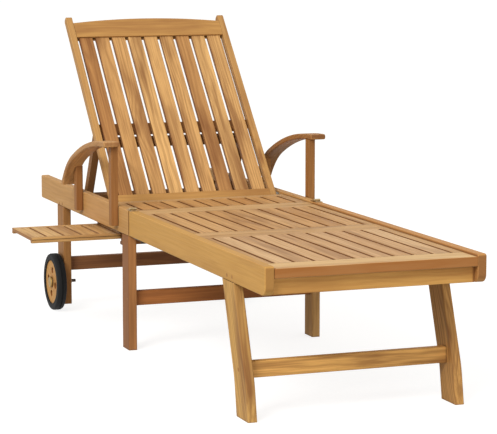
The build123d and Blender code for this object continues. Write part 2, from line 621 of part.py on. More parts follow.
# Fold hinges: a three-barrel butt hinge on top of each pair of rails.
leaf_x0 = -(half_w + foot_in + LEAF_W) / 2
barrel_w = (LEAF_W - 2 * KNUCKLE_GAP) / 3
middle = (leaf_x0 + barrel_w + KNUCKLE_GAP, leaf_x0 + 2 * barrel_w + KNUCKLE_GAP)
outer = [(leaf_x0, leaf_x0 + barrel_w), (leaf_x0 + LEAF_W - barrel_w, leaf_x0 + LEAF_W)]
leaf_z = (RAIL_TOP, RAIL_TOP + LEAF_T)
leaf_start = KNUCKLE_D / 2 + KNUCKLE_LIFT


def hinge_leaf(barrels, side, bore):
    """One hinge leaf with its barrels. side is 1 on the rear rail and -1 on the foot rail."""
    leaf = bar((leaf_x0, leaf_x0 + LEAF_W), sorted((side * leaf_start, side * LEAF_L)), leaf_z)
    for x0, x1 in barrels:
        leaf += bar((x0, x1), sorted((side * JOINT_GAP / 2, side * leaf_start)), leaf_z)
        leaf += rod_x(x0, x1, 0, hinge_z, KNUCKLE_D)
    return leaf - rod_x(leaf_x0, leaf_x0 + LEAF_W, 0, hinge_z, bore)


mirrored_pair("rear_hinge_leaves", hinge_leaf(outer, 1, HINGE_PIN_D))
mirrored_pair("foot_hinge_leaves", hinge_leaf([middle], -1, HINGE_PIN_D + 2 * RUN_CLEAR))
mirrored_pair("hinge_pins", rod_x(leaf_x0, leaf_x0 + LEAF_W, 0, hinge_z, HINGE_PIN_D))

# Hook catches: a steel strip under each foot rail with its end turned down.
catch_x = ((-foot_out - foot_in - CATCH_W) / 2, (-foot_out - foot_in + CATCH_W) / 2)
catch_y = (-CATCH_AT - CATCH_L, -CATCH_AT)
catch = bar(catch_x, catch_y, (rail_bottom - CATCH_T, rail_bottom))
catch += bar(catch_x, (catch_y[0], catch_y[0] + CATCH_T), (rail_bottom - CATCH_HOOK, rail_bottom))
mirrored_pair("fold_catches", catch)

# The origin goes to the middle of the whole box, on the floor.
boxes = [piece.bounding_box() for piece in parts.values()]
mid_x = (min(b.min.X for b in boxes) + max(b.max.X for b in boxes)) / 2
mid_y = (min(b.min.Y for b in boxes) + max(b.max.Y for b in boxes)) / 2
print("origin moved by", -mid_x, -mid_y)

os.makedirs("parts", exist_ok=True)
for name, piece in parts.items():
    export_step(Pos(-mid_x, -mid_y, 0) * piece, f"parts/{name}.step")
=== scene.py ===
# A reclining sun lounger in oiled teak, with steel hinges and two rubber-tyred wooden wheels.
# Metres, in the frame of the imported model: +Z up, +Y towards the head end.
import math

import bmesh
import bpy
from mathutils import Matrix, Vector


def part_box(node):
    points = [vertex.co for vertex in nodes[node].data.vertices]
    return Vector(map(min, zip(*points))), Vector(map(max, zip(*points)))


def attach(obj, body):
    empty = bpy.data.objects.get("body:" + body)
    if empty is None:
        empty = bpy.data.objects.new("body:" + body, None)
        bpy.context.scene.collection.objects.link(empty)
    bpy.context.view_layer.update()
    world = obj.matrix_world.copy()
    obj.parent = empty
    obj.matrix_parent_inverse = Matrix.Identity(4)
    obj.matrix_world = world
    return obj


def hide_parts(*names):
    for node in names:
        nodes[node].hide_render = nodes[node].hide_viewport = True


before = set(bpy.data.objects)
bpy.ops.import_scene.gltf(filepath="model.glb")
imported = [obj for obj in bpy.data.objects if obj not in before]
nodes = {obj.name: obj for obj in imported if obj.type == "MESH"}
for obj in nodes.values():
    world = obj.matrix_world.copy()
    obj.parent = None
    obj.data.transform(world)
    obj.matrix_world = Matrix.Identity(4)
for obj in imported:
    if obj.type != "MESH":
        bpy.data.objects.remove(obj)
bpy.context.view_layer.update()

# Rails: two rear rails and two foot rails of teak, sawn from 25 mm plank, rounded along the edges and oiled.
# Hinges join them end to end at the fold line, and the legs are screwed up against their undersides.


def linear(hex_colour):
    """An sRGB hex colour as linear RGBA."""
    channels = [int(hex_colour[i:i + 2], 16) / 255 for i in (1, 3, 5)]
    return [c / 12.92 if c <= 0.04045 else ((c + 0.055) / 1.055) ** 2.4 for c in channels] + [1.0]


def add(tree, kind, settings=None, links=None):
    """A node with its settings, and each input either linked to a socket or given a value."""
    node = tree.nodes.new(kind)
    for name, value in (settings or {}).items():
        setattr(node, name, value)
    for name, value in (links or {}).items():
        if isinstance(value, bpy.types.NodeSocket):
            tree.links.new(value, node.inputs[name])
        else:
            node.inputs[name].default_value = value
    return node


def new_material(name):
    """An empty node material and its tree."""
    material = bpy.data.materials.new(name)
    material.use_nodes = True
    material.node_tree.nodes.clear()
    return material, material.node_tree


# Teak is sawn from the log, planed and oiled. Growth rings cut by the saw give long arches and lines, fibres
# run along the board, and each board is a little different. Rings are drawn 9 mm apart and fibres 3 mm wide,
# because finer ones do not show.
RING_WIDTH = 0.009
LOG_FOLD = 0.085         # half the distance at which the pith repeats across the log
FIBRE_WIDTH = 0.003
FIBRE_LENGTH = 0.16
STAIN_WIDTH = 0.045
STAIN_LENGTH = 0.32
STAIN_WANDER = 0.030     # how far a stain bends the rings
KNOT_WIDTH = 0.16        # distance between knots, across and along the board
KNOT_LENGTH = 0.55
END_SHADE = 0.007         # depth of the painted shade at each end of a board
SEAM_REACH = 0.009       # width of the painted shade in an inner corner
# colour of the painted shade in seams and inner corners
PAINTED_SEAM_SHADE = "#4A2B16"


def teak(name, pale, deep, line, rise=None, board=10.0, start=-5.0, seed=0.0, tones=None, figure=0.5,
         edge=0.0, bore=0.0, ends=None):
    """Oiled teak. rise is the grain's angle above +Y in degrees, or None for grain along X.
    board is the pitch of the boards along X, start the edge of the first one, and tones how deep each one is.
    edge is how much darker the board's narrow sides are painted, as painted shade,
    and bore the same for what does not look along X, such as the walls of holes.
    ends is the box of a board along X whose two ends are painted darker too, as painted shade at its joints."""
    material, tree = new_material(name)
    spot = add(tree, "ShaderNodeTexCoord").outputs["Object"]

    # The board that this spot is on, and a place of its own in the log, with the grain along X.
    across = add(tree, "ShaderNodeSeparateXYZ", links={0: spot}).outputs["X"]
    from_start = add(tree, "ShaderNodeMath", {"operation": "SUBTRACT"}, {0: across, 1: start})
    in_boards = add(tree, "ShaderNodeMath", {"operation": "DIVIDE"}, {0: from_start.outputs[0], 1: board})
    number = add(tree, "ShaderNodeMath", {"operation": "FLOOR"}, {0: in_boards.outputs[0]})
    marked = add(tree, "ShaderNodeMath", {"operation": "ADD"}, {0: number.outputs[0], 1: seed})
    lot = add(tree, "ShaderNodeTexWhiteNoise", {"noise_dimensions": "1D"}, {"W": marked.outputs[0]})
    turn = (0, 0, 0) if rise is None else (math.radians(-rise), 0, math.radians(-90))
    along = add(tree, "ShaderNodeMapping", {"vector_type": "POINT"}, {"Vector": spot, "Rotation": turn})
    jump = add(tree, "ShaderNodeVectorMath", {"operation": "SCALE"}, {0: lot.outputs["Color"], "Scale": 7.0})
    own = add(tree, "ShaderNodeVectorMath", {"operation": "ADD"}, {0: along.outputs[0], 1: jump.outputs[0]})

    # Stain: long cloudy patches, which also bend the rings.
    stretched = add(tree, "ShaderNodeMapping", {"vector_type": "POINT"}, {
        "Vector": own.outputs[0], "Scale": (1 / STAIN_LENGTH, 1 / STAIN_WIDTH, 1 / STAIN_WIDTH)})
    stain = add(tree, "ShaderNodeTexNoise", links={
        "Vector": stretched.outputs[0], "Scale": 1.0, "Detail": 3.0, "Roughness": 0.5, "Distortion": 0.3})
    patch = add(tree, "ShaderNodeMapRange", {"interpolation_type": "SMOOTHSTEP"}, {
        "Value": stain.outputs[0], "From Min": 0.42, "From Max": 0.74, "To Min": 0.0, "To Max": figure})
    wander = add(tree, "ShaderNodeVectorMath", {"operation": "SCALE"}, {
        0: stain.outputs["Color"], "Scale": STAIN_WANDER})
    bent = add(tree, "ShaderNodeVectorMath", {"operation": "ADD"}, {0: own.outputs[0], 1: wander.outputs[0]})

    # Knots, with a dark heart, and growth rings round the pith, which bulge at the knots.
    spread = add(tree, "ShaderNodeMapping", {"vector_type": "POINT"}, {
        "Vector": bent.outputs[0], "Scale": (1 / KNOT_LENGTH, 1 / KNOT_WIDTH, 1 / KNOT_WIDTH)})
    knots = add(tree, "ShaderNodeTexVoronoi", links={"Vector": spread.outputs[0], "Scale": 1.0})
    heart = add(tree, "ShaderNodeMapRange", {"interpolation_type": "SMOOTHSTEP"}, {
        "Value": knots.outputs["Distance"], "From Min": 0.03, "From Max": 0.10, "To Min": 0.75, "To Max": 0.0})
    bulge = add(tree, "ShaderNodeMapRange", {"interpolation_type": "SMOOTHSTEP"}, {
        "Value": knots.outputs["Distance"], "From Min": 0.0, "From Max": 0.30, "To Min": 0.02, "To Max": 0.0})
    folded = add(tree, "ShaderNodeVectorMath", {"operation": "WRAP"}, {
        0: bent.outputs[0], 1: (10, LOG_FOLD, LOG_FOLD), 2: (-10, -LOG_FOLD, -LOG_FOLD)})
    from_pith = add(tree, "ShaderNodeVectorMath", {"operation": "MULTIPLY"}, {0: folded.outputs[0], 1: (0, 1, 1)})
    radius = add(tree, "ShaderNodeVectorMath", {"operation": "LENGTH"}, {0: from_pith.outputs[0]})
    pushed = add(tree, "ShaderNodeMath", {"operation": "ADD"}, {0: radius.outputs["Value"], 1: bulge.outputs[0]})
    rings = add(tree, "ShaderNodeMath", {"operation": "DIVIDE"}, {0: pushed.outputs[0], 1: RING_WIDTH})
    ring = add(tree, "ShaderNodeMath", {"operation": "PINGPONG"}, {0: rings.outputs[0], 1: 0.5})
    ring_line = add(tree, "ShaderNodeMapRange", {"interpolation_type": "SMOOTHSTEP"}, {
        "Value": ring.outputs[0], "From Min": 0.10, "From Max": 0.48, "To Min": 0.0, "To Max": 0.4 * figure})

    # Fibres, as fine streaks along the board.
    drawn = add(tree, "ShaderNodeMapping", {"vector_type": "POINT"}, {
        "Vector": own.outputs[0], "Scale": (1 / FIBRE_LENGTH, 1 / FIBRE_WIDTH, 1 / FIBRE_WIDTH)})
    fibres = add(tree, "ShaderNodeTexNoise", links={
        "Vector": drawn.outputs[0], "Scale": 1.0, "Detail": 4.0, "Roughness": 0.6, "Distortion": 0.1})
    fibre_line = add(tree, "ShaderNodeMapRange", links={
        "Value": fibres.outputs[0], "From Min": 0.42, "From Max": 0.75, "To Min": 0.0, "To Max": 0.6 * figure})

    # Oil is deepest in end grain. Narrow sides and the walls of holes are painted darker too, as painted shade, and
    # so are the ends of a board.
    facing = add(tree, "ShaderNodeMapping", {"vector_type": "POINT"}, {
        "Vector": add(tree, "ShaderNodeTexCoord").outputs["Normal"], "Rotation": turn})
    end_on = add(tree, "ShaderNodeSeparateXYZ", links={0: facing.outputs[0]})
    end_share = add(tree, "ShaderNodeMath", {"operation": "ABSOLUTE"}, {0: end_on.outputs["X"]})
    end_grain = add(tree, "ShaderNodeMapRange", {"interpolation_type": "SMOOTHSTEP"}, {
        "Value": end_share.outputs[0], "From Min": 0.75, "From Max": 0.98, "To Min": 0.0, "To Max": 0.65})
    side_share = add(tree, "ShaderNodeMath", {"operation": "ABSOLUTE"}, {0: end_on.outputs["Y"]})
    side_shade = add(tree, "ShaderNodeMapRange", {"interpolation_type": "SMOOTHSTEP"}, {
        "Value": side_share.outputs[0], "From Min": 0.5, "From Max": 0.9, "To Min": 0.0, "To Max": edge})
    bore_shade = add(tree, "ShaderNodeMapRange", {"interpolation_type": "SMOOTHSTEP"}, {
        "Value": side_share.outputs[0], "From Min": 0.3, "From Max": 0.7, "To Min": bore, "To Max": 0.0})
    narrow = add(tree, "ShaderNodeMath", {"operation": "MAXIMUM"}, {0: side_shade.outputs[0], 1: bore_shade.outputs[0]})
    oil_and_shade = add(tree, "ShaderNodeMath", {"operation": "MAXIMUM"}, {0: end_grain.outputs[0], 1: narrow.outputs[0]})
    if ends:
        from_end = add(tree, "ShaderNodeMath", {"operation": "SUBTRACT"}, {0: across, 1: ends[0].x})
        to_end = add(tree, "ShaderNodeMath", {"operation": "PINGPONG"}, {
            0: from_end.outputs[0], 1: (ends[1].x - ends[0].x) / 2})
        end_shade = add(tree, "ShaderNodeMapRange", {"interpolation_type": "SMOOTHSTEP"}, {
            "Value": to_end.outputs[0], "From Min": 0.002, "From Max": END_SHADE, "To Min": 0.85, "To Max": 0.0})
        oil_and_shade = add(tree, "ShaderNodeMath", {"operation": "MAXIMUM"}, {0: oil_and_shade.outputs[0], 1: end_shade.outputs[0]})

    # The board's own tone, darkened in turn by stain, rings, fibres, knots and oiled end grain, and by painted shade
    # on narrow sides, at the ends and in the seams.
    depth = lot.outputs["Value"]
    if tones:
        share = add(tree, "ShaderNodeMath", {"operation": "DIVIDE"}, {0: in_boards.outputs[0], 1: len(tones)})
        steps = add(tree, "ShaderNodeValToRGB", links={0: share.outputs[0]})
        steps.color_ramp.interpolation = "CONSTANT"
        steps.color_ramp.elements.remove(steps.color_ramp.elements[1])
        for i, value in enumerate(tones):
            stop = steps.color_ramp.elements.new(i / len(tones)) if i else steps.color_ramp.elements[0]
            stop.color = (value, value, value, 1)
        depth = steps.outputs[0]
    colour = add(tree, "ShaderNodeMix", {"data_type": "RGBA"}, {0: depth, 6: linear(pale), 7: linear(deep)})
    for darker in (patch, ring_line, fibre_line, heart, oil_and_shade):
        colour = add(tree, "ShaderNodeMix", {"data_type": "RGBA"}, {
            0: darker.outputs[0], 6: colour.outputs[2], 7: linear(line)})
    # Painted shade: an ambient occlusion node darkens seams and inner corners towards a dark brown.
    corner = add(tree, "ShaderNodeAmbientOcclusion", {"samples": 8}, {"Distance": SEAM_REACH})
    dust_and_seam_shade = add(tree, "ShaderNodeMapRange", {"interpolation_type": "SMOOTHSTEP"}, {
        "Value": corner.outputs["AO"], "From Min": 0.3, "From Max": 0.9, "To Min": 0.7, "To Max": 0.0})
    colour = add(tree, "ShaderNodeMix", {"data_type": "RGBA"}, {
        0: dust_and_seam_shade.outputs[0], 6: colour.outputs[2], 7: linear(PAINTED_SEAM_SHADE)})

    # A sanded, oiled surface with a dull sheen, slightly ribbed by the fibres.
    gloss = add(tree, "ShaderNodeMapRange", links={
        "Value": fibres.outputs[0], "From Min": 0.3, "From Max": 0.7, "To Min": 0.52, "To Max": 0.68})
    relief = add(tree, "ShaderNodeBump", links={
        "Strength": 0.3, "Distance": 0.0006, "Height": fibres.outputs[0]})
    surface = add(tree, "ShaderNodeBsdfPrincipled", links={
        "Base Color": colour.outputs[2], "Roughness": gloss.outputs[0], "Normal": relief.outputs[0],
        "IOR": 1.45, "Specular IOR Level": 0.25})
    add(tree, "ShaderNodeOutputMaterial", links={"Surface": surface.outputs[0]})
    return material


def finish_node(material, *names):
    """Gives CAD nodes their material."""
    for name in names:
        slots = nodes[name].data.materials
        slots.clear()
        slots.append(material)


# The left and the right piece of a pair count as two boards, so their grain differs.
PAIR = {"board": 0.3, "start": -0.25}
RAIL_LINE = "#9A6A36"
finish_node(teak("teak_rear_rails", "#D2A265", "#C8985C", RAIL_LINE, rise=0, **PAIR, seed=3, figure=0.35),
            "rear_rail_left", "rear_rail_right")
finish_node(teak("teak_foot_rail_left", "#D3A259", "#C99850", RAIL_LINE, rise=0, seed=8, figure=0.25),
            "foot_rail_left")
finish_node(teak("teak_foot_rail_right", "#CC9556", "#BE874B", "#80502A", rise=0, seed=9, figure=0.25, edge=0.4),
            "foot_rail_right")

# Legs and stretchers: teak posts under the rails. The foot legs lean, and bend steeper near the floor.
# The stretchers are dowelled between the legs. The two under the frame are coloured darker and redder, which is
# painted shade from the frame above them.
LEG_LINE = "#7E4F2A"
# The left mid leg's narrow sides are painted darker, as painted shade, and the right mid leg is coloured paler, as
# painted light.
for name, pale, deep, seed, edge in (
        ("mid_leg_left", "#D0955C", "#BE824C", 13, 0.75), ("mid_leg_right", "#EABA78", "#DCA866", 14, 0.0),
        ("rear_leg_left", "#B98A52", "#A6743F", 15, 0.0), ("rear_leg_right", "#C59658", "#B38147", 16, 0.0)):
    finish_node(teak("teak_" + name, pale, deep, LEG_LINE, rise=90, seed=seed, edge=edge), name)
FOOT_LEG_RISE = 70
finish_node(teak("teak_foot_leg_left", "#E0B368", "#D8A960", "#80502A", rise=FOOT_LEG_RISE, seed=17, figure=0.85),
            "foot_leg_left")
finish_node(teak("teak_foot_leg_right", "#CE9A57", "#C48E4F", "#6F4220", rise=FOOT_LEG_RISE, seed=18, figure=1.0),
            "foot_leg_right")
# The foot stretcher is coloured paler than the legs, as painted light from the front.
finish_node(teak("teak_foot_stretcher", "#EEB566", "#E2A85B", "#7C4C26", seed=23, figure=0.8), "foot_stretcher")
finish_node(teak("teak_mid_stretcher", "#BE7941", "#A96834", "#6A3C20", seed=21), "mid_stretcher")
finish_node(teak("teak_rear_stretcher", "#9A6A40", "#865533", "#5A3320", seed=22), "rear_stretcher")

# Plugs: turned teak buttons, 10 mm across, over the screws that hold rails to legs and legs to stretchers.
# They are glued in and sanded until they stand a hair proud of the wood.


def button_tree():
    """A geometry tree that sets a low dome on every vertex it is given."""
    tree = bpy.data.node_groups.new("buttons", "GeometryNodeTree")
    for name, kind in (("Places", "Geometry"), ("Diameter", "Float"), ("Height", "Float"), ("Turn", "Rotation"),
                       ("Material", "Material")):
        tree.interface.new_socket(name, in_out="INPUT", socket_type="NodeSocket" + kind)
    tree.interface.new_socket("Buttons", in_out="OUTPUT", socket_type="NodeSocketGeometry")
    given = tree.nodes.new("NodeGroupInput").outputs
    dome = add(tree, "GeometryNodeMeshUVSphere", links={"Segments": 20, "Rings": 10, "Radius": 0.5})
    smooth = add(tree, "GeometryNodeSetShadeSmooth", links={"Geometry": dome.outputs["Mesh"]})
    spare = add(tree, "FunctionNodeRandomValue", {"data_type": "FLOAT"}, {2: 0.95, 3: 1.05, "Seed": 5})
    wide = add(tree, "ShaderNodeMath", {"operation": "MULTIPLY"}, {0: given["Diameter"], 1: spare.outputs[1]})
    tall = add(tree, "ShaderNodeMath", {"operation": "MULTIPLY"}, {0: given["Height"], 1: 2.0})
    size = add(tree, "ShaderNodeCombineXYZ", links={
        "X": wide.outputs[0], "Y": wide.outputs[0], "Z": tall.outputs[0]})
    placed = add(tree, "GeometryNodeInstanceOnPoints", links={
        "Points": given["Places"], "Instance": smooth.outputs[0], "Rotation": given["Turn"],
        "Scale": size.outputs[0]})
    real = add(tree, "GeometryNodeRealizeInstances", links={"Geometry": placed.outputs[0]})
    painted = add(tree, "GeometryNodeSetMaterial", links={
        "Geometry": real.outputs[0], "Material": given["Material"]})
    add(tree, "NodeGroupOutput", links={"Buttons": painted.outputs[0]})
    return tree


BUTTONS = button_tree()


def buttons(name, places, diameter, height, turn, material, body):
    """One mesh with a dome at every place, riding on a body."""
    points = bpy.data.meshes.new(name + "_places")
    points.from_pydata(places, [], [])
    source = bpy.data.objects.new(name + "_places", points)
    bpy.context.scene.collection.objects.link(source)
    modifier = source.modifiers.new("buttons", "NODES")
    modifier.node_group = BUTTONS
    sockets = {item.name: item.identifier for item in BUTTONS.interface.items_tree}
    for label, value in (("Diameter", diameter), ("Height", height), ("Turn", turn), ("Material", material)):
        modifier[sockets[label]] = value
    made = bpy.data.meshes.new_from_object(source.evaluated_get(bpy.context.evaluated_depsgraph_get()))
    bpy.data.objects.remove(source)
    made.name = name
    piece = bpy.data.objects.new(name, made)
    bpy.context.scene.collection.objects.link(piece)
    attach(piece, body)


def both_faces(left_node, right_node, *places):
    """Places given as (y, z) on the outer faces of a left and a right piece."""
    left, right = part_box(left_node)[0].x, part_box(right_node)[1].x
    return [(x, y, z) for x in (left, right) for y, z in places]


PLUG_D = 0.010
PLUG_PROUD = 0.0004
SIDEWAYS = (0, math.radians(90), 0)
plug_wood = teak("teak_plugs", "#B98347", "#A57039", "#7E4F2A", rise=30, **PAIR, seed=27)
frame_plugs = both_faces("rear_rail_left", "rear_rail_right", (0.8035, 0.342), (0.7705, 0.344))
frame_plugs += both_faces("mid_leg_left", "mid_leg_right", (0.0835, 0.149))
frame_plugs += both_faces("rear_leg_left", "rear_leg_right", (0.7935, 0.165))
buttons("frame_plugs", frame_plugs, PLUG_D, PLUG_PROUD, SIDEWAYS, plug_wood, "frame")
foot_plugs = both_faces("foot_rail_left", "foot_rail_right", (-0.7545, 0.349), (-0.7915, 0.350))
foot_plugs += both_faces("foot_leg_left", "foot_leg_right", (-0.8385, 0.122))
buttons("foot_plugs", foot_plugs, PLUG_D, PLUG_PROUD, SIDEWAYS, plug_wood, "foot_section")

# Deck: cross boards with tongued slats and side strips between them, in teak sanded paler than the rails.
# Each slat comes from another board, so its tone differs from its neighbours'. All are glued in their grooves.
SLAT_PITCH = 0.05365
HALF_GAP = 0.004
DECK_LINE = "#7E5029"
slat_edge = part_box("seat_slats")[0].x - HALF_GAP
# The slats' narrow sides are painted darker (edge), as painted shade in the gaps between them.
for name, pale, deep, seed in (("seat_slats", "#DAA767", "#C58D4F", 31),
                               ("upper_foot_slats", "#DCAD73", "#C49157", 51),
                               ("lower_foot_slats", "#E2BA88", "#D2A470", 71)):
    finish_node(teak("teak_" + name, pale, deep, DECK_LINE, rise=0, board=SLAT_PITCH, start=slat_edge, seed=seed,
                     figure=0.55, edge=0.95), name)
finish_node(teak("teak_side_strips", "#D2A772", "#C2955F", DECK_LINE, rise=0, **PAIR, seed=95, edge=0.95),
            "seat_side_strips", "foot_side_strips")
for seed, name in enumerate(("seat_front_board", "seat_rear_board", "fold_board", "upper_mid_board",
                             "lower_mid_board"), start=101):
    finish_node(teak("teak_" + name, "#D6AC75", "#CCA06A", DECK_LINE, seed=seed, figure=0.45, edge=0.8), name)
# The end board and the apron are painted darker near both ends, as painted shade at their joints with the rails.
finish_node(teak("teak_foot_end_board", "#E1BD85", "#D4AB71", "#9B5A1D", seed=111, figure=0.5, edge=0.82,
                 ends=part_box("foot_end_board")), "foot_end_board")
# The apron is coloured paler than the rails, as painted light where the end board's overhang shades it.
finish_node(teak("teak_foot_apron", "#E2AD64", "#D7A257", "#A56D36", seed=113, figure=0.6,
                 ends=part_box("foot_apron")), "foot_apron")

# Arms and posts: square teak posts lapped on the rails carry a bent, planed strip for the forearm.
# The posts are cut to the strip's underside and screwed to it from above.
ARM_RISE = -22
# The right arm is coloured darker than the left, which is painted shade.
for name, pale, deep, line, seed in (("arm_left", "#D8A66A", "#C89355", "#83522C", 121),
                                     ("arm_right", "#BB8850", "#AB7740", "#6E4222", 122)):
    finish_node(teak("teak_" + name, pale, deep, line, rise=ARM_RISE, seed=seed, edge=0.3), name)
finish_node(teak("teak_arm_posts", "#AE7B44", "#9C6837", "#74471F", rise=90, **PAIR, seed=127),
            "front_arm_posts", "rear_arm_posts")

# Backrest: two stiles, a bottom rail and a crowned top rail, all teak, with tongued slats of mixed boards.
# A batten behind the slats stiffens them and carries the cleats of the prop.
BACK_RISE = 47.7
BACK_TONES = (0.95, 0.5, 0.45, 0.1, 0.3, 0.35, 0.75, 0.05, 0.3)
STILE_COLOURS = ("#D0A264", "#C39356", "#8E5C33")
HIDDEN_COLOURS = ("#A8713C", "#9A6433", "#70451F")
finish_node(teak("teak_back_slats", "#EAB976", "#B7814A", "#7A4A26", rise=BACK_RISE, board=SLAT_PITCH,
                 start=slat_edge, seed=141, tones=BACK_TONES, figure=0.8, edge=0.6), "back_slats")
finish_node(teak("teak_back_stiles", *STILE_COLOURS, rise=BACK_RISE, **PAIR, seed=151),
            "back_stile_left", "back_stile_right")
finish_node(teak("teak_back_rails", "#D2A45F", "#C59352", "#8E5C33", seed=157), "back_bottom_rail", "back_top_rail")
finish_node(teak("teak_batten", *HIDDEN_COLOURS, seed=163), "back_batten")
finish_node(teak("teak_cleats", *HIDDEN_COLOURS, rise=BACK_RISE, seed=161), "prop_cleats")

# Prop and racks: a hinged teak frame whose lower bar drops into the notches of two racks.
# The racks are sawn from plank and screwed to the insides of the rear rails.
PROP_RISE = 118.3
# The prop and racks are coloured darker than the rest of the teak, which is painted shade.
PROP_COLOURS = ("#976C3D", "#895C31", "#603C1B")
finish_node(teak("teak_prop_arms", *PROP_COLOURS, rise=PROP_RISE, **PAIR, seed=171), "prop_arms")
finish_node(teak("teak_prop_bars", *PROP_COLOURS, seed=173), "prop_top_bar", "prop_lower_bar")
finish_node(teak("teak_prop_racks", *PROP_COLOURS, rise=0, seed=177), "prop_racks")

# Side tray: teak slats between two edge strips with a bead groove, glued and pinned.
# The strips slide in grooved runners that are screwed between the rear rails.
tray_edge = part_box("tray_slats")[0].x - HALF_GAP
finish_node(teak("teak_tray_slats", "#E3B877", "#C7985D", "#94623A", rise=0, board=SLAT_PITCH, start=tray_edge,
                 seed=181, figure=0.6, edge=0.8), "tray_slats")
strip_wood = teak("teak_tray_edges", *STILE_COLOURS, seed=187)
EASE = 0.0015            # eased edges of a strip
GROOVE = 0.002           # depth of the bead groove
GROOVE_TOP, GROOVE_LOW = 0.006, 0.008
STRIP_SHOW = 0.0165      # height of a strip where it comes out from under the rail
SHOULDER_AT = 0.042      # outer face of the rail to the start of the full height
SHOULDER_L = 0.012


def solid(name, points, faces, material):
    """A closed mesh as a new piece, its faces turned outwards."""
    mesh = bpy.data.meshes.new(name)
    mesh.from_pydata(points, [], faces)
    shell = bmesh.new()
    shell.from_mesh(mesh)
    bmesh.ops.recalc_face_normals(shell, faces=shell.faces)
    shell.to_mesh(mesh)
    shell.free()
    mesh.materials.append(material)
    piece = bpy.data.objects.new(name, mesh)
    bpy.context.scene.collection.objects.link(piece)
    return piece


def tray_strip(node, outward):
    """An edge strip with a bead groove on its outer side, less high where it comes out from under the rail."""
    low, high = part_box(node)
    top, width = high.z, high.y - low.y
    outer = high.y if outward > 0 else low.y
    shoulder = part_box("rear_rail_left")[0].x + SHOULDER_AT
    stations = [(low.x, top - STRIP_SHOW), (shoulder, top - STRIP_SHOW), (shoulder + SHOULDER_L, low.z),
                (high.x, low.z)]
    points = []
    for x, bottom in stations:
        profile = [(EASE, bottom), (0, bottom + EASE), (0, top - GROOVE_LOW), (GROOVE, top - GROOVE_LOW),
                   (GROOVE, top - GROOVE_TOP), (0, top - GROOVE_TOP), (0, top - EASE), (EASE, top),
                   (width - EASE, top), (width, top - EASE), (width, bottom + EASE), (width - EASE, bottom)]
        points += [(x, outer - outward * depth, z) for depth, z in profile]
    rim = len(profile)
    faces = [(i * rim + j, i * rim + (j + 1) % rim, (i + 1) * rim + (j + 1) % rim, (i + 1) * rim + j)
             for i in range(len(stations) - 1) for j in range(rim)]
    faces += [tuple(range(rim)), tuple(range(len(points) - rim, len(points)))]
    return solid(node + "_strip", points, faces, strip_wood)


for node, outward in (("tray_front_edge", -1), ("tray_rear_edge", 1)):
    strip = tray_strip(node, outward)
    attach(strip, "tray")
    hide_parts(node)
finish_node(teak("teak_tray_runners", *HIDDEN_COLOURS, seed=191), "tray_front_runner", "tray_rear_runner")

# Wheels: a turned teak disc with four round holes, in a black rubber tyre with a groove round its tread.
# A steel bush in the disc runs on a stub bolt with a domed, yellow-plated cap.
# The walls of the disc's holes are painted darker (bore), as painted shade.
finish_node(teak("teak_wheel_discs", "#DAA55E", "#C9904D", "#8A4F28", rise=35, **PAIR, seed=197, bore=0.85),
            "wheel_disc_left", "wheel_disc_right")
RUBBER_GRAIN = 0.002     # drawn this coarse so that it shows
DUST_WIDTH = 0.035


def tyre_rubber(name):
    """Moulded rubber: nearly black and matt, with a fine grain and dusty patches."""
    material, tree = new_material(name)
    spot = add(tree, "ShaderNodeTexCoord").outputs["Object"]
    grain = add(tree, "ShaderNodeTexNoise", links={"Vector": spot, "Scale": 1 / RUBBER_GRAIN, "Detail": 3.0})
    dust_and_seam_shade = add(tree, "ShaderNodeTexNoise", links={"Vector": spot, "Scale": 1 / DUST_WIDTH, "Detail": 2.0})
    spread = add(tree, "ShaderNodeMapRange", links={
        "Value": dust_and_seam_shade.outputs[0], "From Min": 0.4, "From Max": 0.75, "To Min": 0.0, "To Max": 0.5})
    colour = add(tree, "ShaderNodeMix", {"data_type": "RGBA"}, {
        0: spread.outputs[0], 6: linear("#070707"), 7: linear("#131211")})
    relief = add(tree, "ShaderNodeBump", links={"Strength": 0.2, "Distance": 0.0004, "Height": grain.outputs[0]})
    surface = add(tree, "ShaderNodeBsdfPrincipled", links={
        "Base Color": colour.outputs[2], "Roughness": 0.72, "IOR": 1.5, "Specular IOR Level": 0.3,
        "Normal": relief.outputs[0]})
    add(tree, "ShaderNodeOutputMaterial", links={"Surface": surface.outputs[0]})
    return material


def lathe(name, profile, centre, steps, material):
    """A closed ring about the X axis from (offset, radius) points."""
    rim = len(profile)
    turns = [math.tau * i / steps for i in range(steps)]
    points = [(centre.x + offset, centre.y + r * math.cos(turn), centre.z + r * math.sin(turn))
              for turn in turns for offset, r in profile]
    faces = [(i * rim + j, i * rim + (j + 1) % rim, (i + 1) % steps * rim + (j + 1) % rim, (i + 1) % steps * rim + j)
             for i in range(steps) for j in range(rim)]
    piece = solid(name, points, faces, material)
    piece.data.shade_smooth()
    piece.data.set_sharp_from_angle(angle=math.radians(38))
    return piece


# Half of the tyre's section, from its bead on the disc to the groove in the tread: offset from mid width, radius.
TYRE_HALF = [(0.0150, 0.0702), (0.0150, 0.0735), (0.0143, 0.0742), (0.0143, 0.0800), (0.0150, 0.0808),
             (0.0150, 0.0848), (0.0136, 0.0884), (0.0100, 0.0906), (0.0028, 0.0910), (0.0022, 0.0880)]
TYRE_STEPS = 96
rubber = tyre_rubber("moulded_rubber")
for side in ("left", "right"):
    low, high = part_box("tyre_" + side)
    section = [(-offset, r) for offset, r in TYRE_HALF] + list(reversed(TYRE_HALF))
    tyre = lathe("moulded_tyre_" + side, section, (low + high) / 2, TYRE_STEPS, rubber)
    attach(tyre, "wheel_" + side)
    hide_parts("tyre_" + side)

# Steel: brass-plated hinges, zinc-plated bolts, nuts and pins, yellow-plated stub bolts and dark hook catches.
# The hinges lie on the rail tops, each leaf held by two domed screws.
CLOUD_WIDTH = 0.012
MIDDLE = (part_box("rear_rail_left")[0].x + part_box("rear_rail_right")[1].x) / 2
INNER_HALF = 0.29        # mid-plane to inside the rear legs


